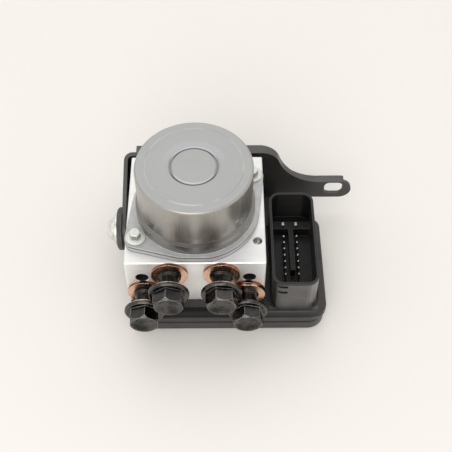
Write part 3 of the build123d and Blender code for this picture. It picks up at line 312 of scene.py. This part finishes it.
def drawn_can(name):
    """Zinc-coated deep-drawn steel: satin lid, darker wall with drawing lines and painted dark
    reflections, painted highlights and shade on the lid and the foot, painted shadow under the
    flange.
    """
    g = Finish(name)
    drawn_out = (1, 1, 0.02)
    rings = g.around(2600.0)
    wide_rings = g.around(420.0, 2.0)
    cloud = g.noise(60.0, 5.0)
    mottle = g.noise(420.0)
    bands = g.noise(170.0, 3.0, drawn_out)
    lines = g.noise(1500.0, 3.0, drawn_out)
    # Noise for the wall's painted dark reflections; it also varies the painted highlight on the
    # lid's step.
    reflection_noise = g.noise(85.0, 3.0, (1, 1, 0.8), (0.31, 0.12, 0))
    height = g.position(Z)

    low_wall = g.span(height, REFLECTION_BLOTCHES_LOW, REFLECTION_BLOTCHES_HIGH, 1.0, 0.0)
    # The foot and the ring's bevel, painted dark as shade, darkest at the front centre.
    aside = g.span(g.math("ABSOLUTE", g.position(X)), FOOT_DARK, FOOT_PALE)
    foot = g.blend(aside, (0.2, 0.198, 0.197), (0.34, 0.33, 0.31))
    bevel = g.blend(aside, (0.05, 0.047, 0.046), (0.24, 0.232, 0.22))
    wall = g.wander(bands, (0.3, 0.287, 0.268), (0.35, 0.335, 0.313))
    wall = g.over(wall, g.span(height, PALER_LOW, PALER_HIGH), (0.43, 0.415, 0.385), 0.6)
    wall = g.over(wall, g.span(lines, 0.35, 0.7), (0.42, 0.4, 0.37), 0.12)
    # Painted dark reflections on the lower wall.
    wall = g.over(wall, g.all_of(low_wall, g.span(reflection_noise, 0.44, 0.6)), (0.15, 0.138, 0.13), 0.65)
    wall = g.over(wall, g.along(Z, FLANGE_TOP, RING_TOP), foot)
    wall = g.over(wall, g.along(Z, RING_TOP, RING_BEVEL_TOP), bevel)

    # Painted highlight and shade on the crease, a painted highlight ring round it, on the step and
    # on the rim.
    crease = g.ring(CREASE_RADIUS, CREASE_HALF)
    to_back = g.span(g.position(Y), HALO_FRONT, HALO_BACK)
    halo = g.all_of(g.ring(HALO_RADIUS, HALO_HALF), to_back)
    step = g.all_of(g.ring(STEP_RADIUS, STEP_HALF), g.span(reflection_noise, 0.4, 0.6, 0.1, 0.8))
    rim = g.math("GREATER_THAN", g.reach(Z), RIM_RADIUS)
    lid = g.wander(cloud, (0.385, 0.387, 0.382), (0.42, 0.423, 0.416))
    lid = g.over(lid, g.span(wide_rings, 0.45, 0.75), (0.45, 0.452, 0.445), 0.25)
    lid = g.over(lid, g.all_of(crease, g.facing(Y, -0.12, -0.3)), (0.7, 0.72, 0.75), 0.8)
    lid = g.over(lid, g.all_of(crease, g.facing(Y, 0.12, 0.3)), (0.1, 0.1, 0.102))
    lid = g.over(lid, g.ring(CREASE_RADIUS, CREASE_LINE), (0.14, 0.14, 0.142), 0.6)
    lid = g.over(lid, halo, (0.5, 0.51, 0.54), 0.3)
    lid = g.over(lid, step, (0.55, 0.555, 0.56))
    lid = g.over(lid, rim, (0.5, 0.495, 0.48), 0.5)

    flange = g.wander(mottle, (0.48, 0.484, 0.487), (0.55, 0.556, 0.56))
    flange = g.over(flange, g.span(wide_rings, 0.5, 0.7), (0.62, 0.624, 0.628), 0.4)
    # Painted shadow line under the edge of the flange.
    flange = g.over(flange, g.along(Z, FLANGE_LOW - EDGE_SHADOW_LINE, FLANGE_LOW + EDGE_SHADOW_LINE), grey(0.1))

    on_lid = g.all_of(g.facing(Z, 0.2, 0.7), g.above(Z, LID_LOW))
    on_flange = g.below(Z, FLANGE_TOP)
    tone = g.over(wall, on_lid, lid)
    # Edges lightened: a painted highlight.
    tone = g.over(tone, g.edges(0.6 * MM), (0.42, 0.42, 0.41), 0.4)
    g.set("Base Color", g.over(tone, on_flange, flange))
    g.set("Metallic", g.mix(on_flange, 0.8, 0.3))
    wall_gloss = g.span(bands, 0.25, 0.75, 0.24, 0.34)
    flat_gloss = g.span(cloud, 0.25, 0.75, 0.36, 0.44)
    g.set("Roughness", g.mix(g.math("MAXIMUM", on_lid, on_flange), wall_gloss, flat_gloss))
    g.bump(
        (rings, 0.07, 0.03 * MM),
        (mottle, 0.1, 0.05 * MM),
        (lines, 0.06, 0.03 * MM),
        round_edge=0.3 * MM,
    )
    return g.material


def flange_sheet(name):
    """Pressed zinc-coated sheet: faint turning rings and cloudy tarnish."""
    g = Finish(name, metallic=0.35)
    cloud = g.noise(110.0, 5.0)
    rings = g.around(1500.0)
    fine = g.noise(2600.0, 2.0)
    tone = g.wander(cloud, (0.41, 0.415, 0.42), (0.48, 0.487, 0.492))
    tone = g.over(tone, g.span(rings, 0.55, 0.75), (0.54, 0.545, 0.55), 0.3)
    tone = g.over(tone, g.edges(0.4 * MM), (0.5, 0.505, 0.51), 0.6)
    # Painted shadow line along the plate's foot on the block.
    tone = g.over(tone, g.along(Z, BLOCK_TOP, BLOCK_TOP + EDGE_SHADOW_LINE), grey(0.08))
    g.set("Base Color", tone)
    g.gloss(cloud, 0.4, 0.52)
    g.bump((fine, 0.1, 0.03 * MM), (rings, 0.08, 0.03 * MM), round_edge=0.2 * MM)
    return g.material


def milled_aluminium(name):
    """Milled block: cutter lines on each face, corners lightened as a painted highlight, drilled
    holes painted dark as shade.
    """
    g = Finish(name, metallic=0.5)
    lines = g.noise(1300.0, 3.0, (0.04, 1, 1))
    swirl = g.noise(240.0, 4.0, (0.2, 1, 1))
    cloud = g.noise(55.0)
    specks = g.noise(1600.0, 2.0)
    tone = g.wander(cloud, (0.86, 0.857, 0.85), (0.95, 0.947, 0.94))
    tone = g.over(tone, g.span(lines, 0.5, 0.75), (0.74, 0.735, 0.725), 0.35)
    tone = g.over(tone, g.span(specks, 0.72, 0.8), (0.3, 0.29, 0.28), 0.5)
    # Corners lightened: a painted highlight.
    tone = g.over(tone, g.edges(0.5 * MM), (0.95, 0.945, 0.935), 0.6)
    # Painted shade in the two drilled holes.
    for hand in (-1, 1):
        bore = g.math("LESS_THAN", g.reach(Y, (hand * MOUNT_X, 0, MOUNT_Z)), MOUNT_RADIUS)
        tone = g.over(tone, bore, (0.045, 0.048, 0.052))
    g.set("Base Color", tone)
    g.gloss(swirl, 0.3, 0.46, 0.3, 0.7)
    g.bump((lines, 0.16, 0.04 * MM), (swirl, 0.1, 0.05 * MM), round_edge=0.3 * MM)
    return g.material


def black_oxide(name):
    """Blackened steel bolts: oily gloss, pale grey along the edges (wear and a painted highlight),
    thread at the block's face.
    """
    g = Finish(name, metallic=1.0)
    cloud = g.noise(420.0, 5.0)
    stain = g.noise(140.0, 4.0, offset=(0.2, 0.1, 0.3))
    fine = g.noise(2800.0, 3.0)
    end_face = g.wander(stain, (0.028, 0.028, 0.026), (0.095, 0.09, 0.084), 0.4, 0.6)
    shank = g.wander(cloud, (0.016, 0.017, 0.016), (0.04, 0.04, 0.038), 0.35, 0.65)
    # Pale edges: wear and a painted highlight, weaker between the flange and the block.
    worn_and_lit_edges = g.all_of(g.edges(0.6 * MM, 8.0), g.span(cloud, 0.35, 0.6, 0.5, 1.0))
    worn_and_lit_edges = g.all_of(worn_and_lit_edges, g.mix(g.along(Y, FLANGE_END, FRONT), 1.0, 0.4))
    tone = g.wander(cloud, (0.055, 0.052, 0.052), (0.08, 0.075, 0.074))
    tone = g.over(tone, g.facing(Y, -0.8, -0.95), end_face)
    tone = g.over(tone, g.along(Y, NECK_END, FRONT), shank)
    g.set("Base Color", g.over(tone, worn_and_lit_edges, (0.45, 0.43, 0.4)))
    g.gloss(cloud, 0.2, 0.3)
    thread = g.all_of(g.ridges(Y, THREAD_PITCH), g.along(Y, FRONT - THREAD_SEEN, FRONT))
    g.bump(
        (thread, 1.0, 0.3 * MM),
        (fine, 0.06, 0.03 * MM),
        (cloud, 0.05, 0.05 * MM),
        round_edge=0.35 * MM,
    )
    return g.material


def soft_copper(name):
    """Sealing rings: bright soft copper faces, bright rims on the near rings, the far rings' rims
    painted dark as shade, edges lightened by bare copper and a painted highlight.
    """
    g = Finish(name, metallic=1.0)
    cloud = g.noise(260.0, 3.0)
    fine = g.noise(2400.0, 3.0)
    face = g.wander(cloud, (0.82, 0.5, 0.35), (0.92, 0.66, 0.5), 0.35, 0.7)
    # Rims: dark where the rings lie against the block, a painted shade; bright on the near rings.
    rim = g.wander(cloud, (0.26, 0.085, 0.045), (0.42, 0.17, 0.1), 0.4, 0.65)
    rim = g.blend(g.along(Y, FAR_RINGS, FRONT), (0.88, 0.6, 0.42), rim)
    tone = g.over(rim, g.facing(Y, -0.4, -0.8), face)
    # Edges lightened: bare copper and a painted highlight.
    g.set("Base Color", g.over(tone, g.edges(0.3 * MM, 5.0), (1.0, 0.86, 0.7), 0.9))
    g.gloss(cloud, 0.2, 0.3)
    g.bump((fine, 0.05, 0.02 * MM), (cloud, 0.05, 0.04 * MM), round_edge=0.25 * MM)
    return g.material


def dip_coat(name):
    """Black dip coat on pressed sheet: orange peel, thin on the edges, dust and a painted sheen on
    what looks up.
    """
    g = Finish(name, specular=0.8)
    cloud = g.noise(90.0)
    peel = g.noise(700.0, 3.0)
    fine = g.noise(1900.0, 3.0)
    # Dust and a painted sheen on faces that look up.
    dust_and_sheen = g.all_of(g.facing(Z, 0.6, 0.95), g.span(cloud, 0.2, 0.8, 0.1, 0.2))
    tone = g.wander(cloud, (0.012, 0.0115, 0.0115), (0.02, 0.019, 0.018))
    tone = g.over(tone, dust_and_sheen, (0.32, 0.3, 0.27))
    g.set("Base Color", g.over(tone, g.edges(0.6 * MM), (0.12, 0.115, 0.105), 0.35))
    g.gloss(cloud, 0.34, 0.46)
    g.bump((peel, 0.12, 0.06 * MM), (fine, 0.1, 0.04 * MM), round_edge=0.4 * MM)
    return g.material


def flanged_screws(name):
    """Zinc-plated screws: pale flanges, painted shade on the flanks of the motor screws' heads and
    on the faces under the other screws.
    """
    g = Finish(name)
    cloud = g.noise(420.0)
    specks = g.noise(1500.0, 2.0)
    fine = g.noise(2600.0, 3.0)
    on_motor = g.along(Z, SCREW_LOW, SCREW_HIGH)
    # Painted shade on the side faces of the motor screws' heads and on faces that look down on the
    # other screws.
    flank = g.all_of(on_motor, g.facing(Z, 0.5, 0.15))
    under = g.all_of(g.mix(on_motor, 1.0, 0.0), g.facing(Z, 0.25, -0.6))
    tone = g.wander(cloud, (0.74, 0.755, 0.71), (0.84, 0.855, 0.81))
    tone = g.over(tone, flank, (0.2, 0.205, 0.19), 0.9)
    tone = g.over(tone, g.span(specks, 0.66, 0.74), (0.35, 0.35, 0.32), 0.6)
    tone = g.over(tone, under, (0.36, 0.38, 0.36), 0.8)
    g.set("Base Color", g.over(tone, g.edges(0.3 * MM, 5.0), (0.92, 0.93, 0.9), 0.6))
    g.set("Metallic", g.mix(on_motor, 1.0, 0.25))
    g.gloss(cloud, 0.26, 0.36)
    g.bump((fine, 0.05, 0.02 * MM), round_edge=0.2 * MM)
    return g.material


def wound_copper(name):
    """Enamelled copper with its strands drawn out along the motor's axis."""
    g = Finish(name, metallic=0.8)
    strands = g.noise(2600.0, 2.0, (1, 1, 0.12))
    cloud = g.noise(300.0, 3.0)
    g.set("Base Color", g.wander(strands, (0.5, 0.17, 0.07), (0.78, 0.36, 0.16), 0.35, 0.65))
    g.gloss(cloud, 0.25, 0.4, 0.3, 0.7)
    g.bump((strands, 0.6, 0.2 * MM))
    return g.material


def laminate(name):
    """Green circuit board with a faint weave."""
    g = Finish(name)
    weave = g.noise(900.0, 2.0, (1, 0.15, 1))
    cloud = g.noise(150.0, 3.0)
    g.set("Base Color", g.wander(cloud, (0.01, 0.07, 0.025), (0.02, 0.11, 0.04)))
    g.gloss(weave, 0.3, 0.45, 0.3, 0.7)
    g.bump((weave, 0.15, 0.05 * MM))
    return g.material


def moulded(name, first, second, smooth, rough, dust_and_sheen=0.0, patches=()):
    """Moulded plastic: fine grain, cloudy flow, dust and a painted sheen on what looks up, pale
    edges of wear and painted highlight, patches of other tones, some of them painted light or
    shade.
    """
    g = Finish(name, specular=0.36)
    cloud = g.noise(120.0)
    grain = g.noise(2200.0, 3.0)
    flow = g.noise(240.0, 3.0, (0.2, 1, 1))
    edge = g.edges(0.4 * MM, 5.0)
    tone = g.wander(cloud, first, second)
    if dust_and_sheen:
        # Dust and a painted sheen on faces that look up.
        dust_and_sheen_mask = g.all_of(g.facing(Z, 0.6, 0.95), g.span(cloud, 0.2, 0.8, 0.6 * dust_and_sheen, 1.4 * dust_and_sheen))
        tone = g.over(tone, dust_and_sheen_mask, (0.3, 0.28, 0.26))
    gloss = g.span(flow, 0.3, 0.7, smooth, rough)
    for patch in patches:
        inside = g.box(patch.x, patch.y, patch.z)
        tone = g.over(tone, inside, g.wander(cloud, patch.tone, brighter(patch.tone, 1.3)))
        gloss = g.mix(inside, gloss, patch.roughness)
        edge = g.all_of(edge, g.mix(inside, 1.0, patch.edge_kept))
    # Pale edges: wear and a painted highlight.
    g.set("Base Color", g.over(tone, edge, brighter(second, 5), 0.6))
    g.set("Roughness", gloss)
    g.bump((grain, 0.16, 0.06 * MM), round_edge=0.3 * MM)
    return g.material


def rubber(name, first, second):
    """Dull rubber with a coarse grain."""
    g = Finish(name, specular=0.35)
    cloud = g.noise(260.0)
    grain = g.noise(1800.0, 3.0)
    g.set("Base Color", g.wander(cloud, first, second))
    g.gloss(cloud, 0.55, 0.7)
    g.bump((grain, 0.25, 0.08 * MM), round_edge=0.4 * MM)
    return g.material


def plated(name, first, second, smooth, rough, metallic=1.0):
    """Bare or plated metal, slightly brighter along its edges."""
    g = Finish(name, metallic=metallic)
    cloud = g.noise(420.0)
    fine = g.noise(2600.0, 3.0)
    tone = g.wander(cloud, first, second)
    g.set("Base Color", g.over(tone, g.edges(0.3 * MM), brighter(second, 1.4), 0.3))
    g.gloss(cloud, smooth, rough)
    g.bump((fine, 0.05, 0.02 * MM), round_edge=0.2 * MM)
    return g.material


SINGLE = {
    "can_steel": drawn_can,
    "flange_steel": flange_sheet,
    "block_aluminium": milled_aluminium,
    "bolt_black": black_oxide,
    "washer_copper": soft_copper,
    "bracket_black": dip_coat,
    "screw_zinc": flanged_screws,
    "winding_copper": wound_copper,
    "board_laminate": laminate,
}
HOUSING_TONES = (0.021, 0.0205, 0.02), (0.031, 0.03, 0.0293)
COVER_TONES = (0.042, 0.0415, 0.0425), (0.056, 0.0555, 0.057)
MOULDED = {
    "housing_plastic": (*HOUSING_TONES, 0.3, 0.44, 0.06, HOUSING_PATCHES),
    "cover_plastic": (*COVER_TONES, 0.32, 0.46, 0.03, COVER_PATCHES),
    "coil_plastic": ((0.015, 0.015, 0.017), (0.03, 0.03, 0.033), 0.4, 0.55),
    "brush_plastic": ((0.22, 0.18, 0.12), (0.3, 0.25, 0.17), 0.4, 0.55),
    "brush_carbon": (grey(0.02), grey(0.045), 0.5, 0.65),
}
RUBBER = {
    "grommet_rubber": ((0.062, 0.061, 0.058), (0.1, 0.098, 0.093)),
    "seal_rubber": (grey(0.012), grey(0.025)),
}
PLATED = {
    "pin_tin": ((0.3, 0.295, 0.29), (0.42, 0.415, 0.4), 0.3, 0.42),
    "ball_steel": (grey(0.3), (0.42, 0.42, 0.41), 0.15, 0.28),
    "inner_steel": (grey(0.4), (0.46, 0.46, 0.45), 0.26, 0.34),
    "spring_steel": ((0.18, 0.18, 0.19), (0.28, 0.28, 0.29), 0.25, 0.4),
    "plug_aluminium": ((0.58, 0.58, 0.57), (0.64, 0.64, 0.63), 0.3, 0.4),
    "commutator_copper": ((0.55, 0.24, 0.12), (0.72, 0.36, 0.22), 0.2, 0.35),
    "magnet_ferrite": ((0.02, 0.02, 0.023), (0.045, 0.045, 0.05), 0.5, 0.65, 0.2),
}
FINISHES = {name: make(name) for name, make in SINGLE.items()}
for make, kinds in ((moulded, MOULDED), (rubber, RUBBER), (plated, PLATED)):
    for name, values in kinds.items():
        FINISHES[name] = make(name, *values)

node_slot = {part["node"]: part["material_slot"] for part in frame["record"]["subparts"]}
for name, cad in frame["nodes"].items():
    cad.data.materials.clear()
    cad.data.materials.append(FINISHES[node_slot[name]])


# ---------------------------------------------------------------- accumulator springs

SPRING_WIRE = 0.54 * MM
SPRING_TURNS = 3  # between the closed end turns
SPRING_STEPS = 36  # a turn
SPRING_SIDES = 12


def coil_points(low, high):
    """Rings of points along round wire wound inside a box, with a closed turn at each end."""
    middle_x, middle_y = ((low[axis] + high[axis]) / 2 for axis in (X, Y))
    radius = (high[X] - low[X] - SPRING_WIRE) / 2
    length = high[Z] - low[Z] - SPRING_WIRE
    upright = Vector((0, 0, 1))
    points = []
    for k in range(SPRING_STEPS * (SPRING_TURNS + 2) + 1):
        turn = k / SPRING_STEPS
        free = min(max(turn - 1, 0.0), SPRING_TURNS) / SPRING_TURNS
        closed = min(turn, 1.0) + max(turn - 1 - SPRING_TURNS, 0.0)
        rise = closed * SPRING_WIRE + free * (length - 2 * SPRING_WIRE)
        angle = 2 * math.pi * turn
        outward = Vector((math.cos(angle), math.sin(angle), 0))
        centre = Vector((middle_x, middle_y, low[Z] + SPRING_WIRE / 2 + rise)) + radius * outward
        for n in range(SPRING_SIDES):
            spin = 2 * math.pi * n / SPRING_SIDES
            side = math.cos(spin) * outward + math.sin(spin) * upright
            points.append(centre + SPRING_WIRE / 2 * side)
    return points


def coil_faces(count):
    """Faces round the wire between its rings of points, and one over each end."""
    faces = []
    last = count - SPRING_SIDES
    for start in range(0, last, SPRING_SIDES):
        for n in range(SPRING_SIDES):
            a, b = start + n, start + (n + 1) % SPRING_SIDES
            faces.append((a, a + SPRING_SIDES, b + SPRING_SIDES, b))
    return faces + [tuple(range(SPRING_SIDES)), tuple(reversed(range(last, count)))]


def coil_spring(name, node):
    """Wound spring in a node's place."""
    low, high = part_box(node)
    points = coil_points(low, high)
    mesh = bpy.data.meshes.new(name)
    mesh.from_pydata([tuple(p) for p in points], [], coil_faces(len(points)))
    shape = bmesh.new()
    shape.from_mesh(mesh)
    bmesh.ops.recalc_face_normals(shape, faces=shape.faces[:])
    for face in shape.faces:
        face.smooth = len(face.verts) == 4
    shape.to_mesh(mesh)
    shape.free()
    mesh.materials.append(FINISHES["spring_steel"])
    spring = bpy.data.objects.new(name, mesh)
    bpy.context.scene.collection.objects.link(spring)
    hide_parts(node)
    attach(spring, "module")
    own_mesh(spring)


for hand in ("left", "right"):
    replaced, joint = "accumulator_spring_" + hand, "accumulator_stroke_" + hand
    coil_spring("accumulator_coil_" + hand, replaced)


# ---------------------------------------------------------------- floor, light and camera

FLOOR_HALF = 3.0
FLOOR_DROP = 0.2 * MM  # so that the floor and the object's underside don't share a plane
HORIZON = (0.97, 0.96, 0.94)
ZENITH = (1.0, 0.995, 0.985)
ZENITH_FROM = 0.8  # share of straight up where the sky has its zenith tone
SKY_STRENGTH = 0.815
LAMP_TARGET = Vector((0, 0, 0.03))
CAMERA_PLACE = (0.0116, -0.22096, 0.3341)
CAMERA_PITCH = math.radians(53.719)  # downwards
CAMERA_YAW = math.radians(0.416)  # to the right
CAMERA_LENS = 66.063
CAMERA_SENSOR = 36.0
CAMERA_NEAR = 0.01

corners = [(x * FLOOR_HALF, y * FLOOR_HALF, 0) for x, y in ((-1, -1), (1, -1), (1, 1), (-1, 1))]
floor_mesh = bpy.data.meshes.new("floor")
floor_mesh.from_pydata(corners, [], [(0, 1, 2, 3)])
floor = bpy.data.objects.new("floor", floor_mesh)
floor.location.z = -FLOOR_DROP
bpy.context.scene.collection.objects.link(floor)
paper = Finish("floor_paper", roughness=0.9, specular=0.1)
cloud = paper.noise(1.5, 2.0)
paper.set("Base Color", paper.blend(cloud, (0.915, 0.885, 0.84), (0.935, 0.905, 0.86)))
floor_mesh.materials.append(paper.material)

world = bpy.data.worlds.new("studio")
world.use_nodes = True
sky = Nodes(world.node_tree)
direction = sky.node("TexCoord").outputs["Generated"]
upwards = sky.node("SeparateXYZ", {"Vector": direction}).outputs["Z"]
rise = sky.span(upwards, 0.0, ZENITH_FROM, ease="LINEAR")
background = sky.tree.nodes["Background"]
sky.feed(background.inputs["Color"], sky.blend(rise, HORIZON, ZENITH))
sky.feed(background.inputs["Strength"], SKY_STRENGTH)
bpy.context.scene.world = world


def lamp(name, place, size, power, tint):
    """Soft round lamp that points at the object."""
    data = bpy.data.lights.new(name, "AREA")
    data.shape = "DISK"
    data.size = size
    data.energy = power
    data.color = tint
    made = bpy.data.objects.new(name, data)
    made.location = place
    made.rotation_euler = (LAMP_TARGET - Vector(place)).to_track_quat("-Z", "Y").to_euler()
    bpy.context.scene.collection.objects.link(made)


lamp("overhead", (-0.05, 0.6, 1.0), 1.1, 1.5, (1, 0.992, 0.98))
lamp("front", (-0.2, -1.05, 0.75), 1.0, 5.4, (1, 0.985, 0.96))

level = math.cos(CAMERA_PITCH)
ahead = Vector(
    (math.sin(CAMERA_YAW) * level, math.cos(CAMERA_YAW) * level, -math.sin(CAMERA_PITCH))
)
across = Vector((math.cos(CAMERA_YAW), -math.sin(CAMERA_YAW), 0))
upward = across.cross(ahead)
lens = bpy.data.cameras.new("camera")
lens.lens = CAMERA_LENS
lens.sensor_width = CAMERA_SENSOR
lens.clip_start = CAMERA_NEAR
camera = bpy.data.objects.new("camera", lens)
turned = Matrix((across, upward, -ahead)).transposed().to_4x4()
camera.matrix_world = Matrix.Translation(CAMERA_PLACE) @ turned
bpy.context.scene.collection.objects.link(camera)
bpy.context.scene.camera = camera

bpy.context.scene.view_settings.view_transform = "Standard"
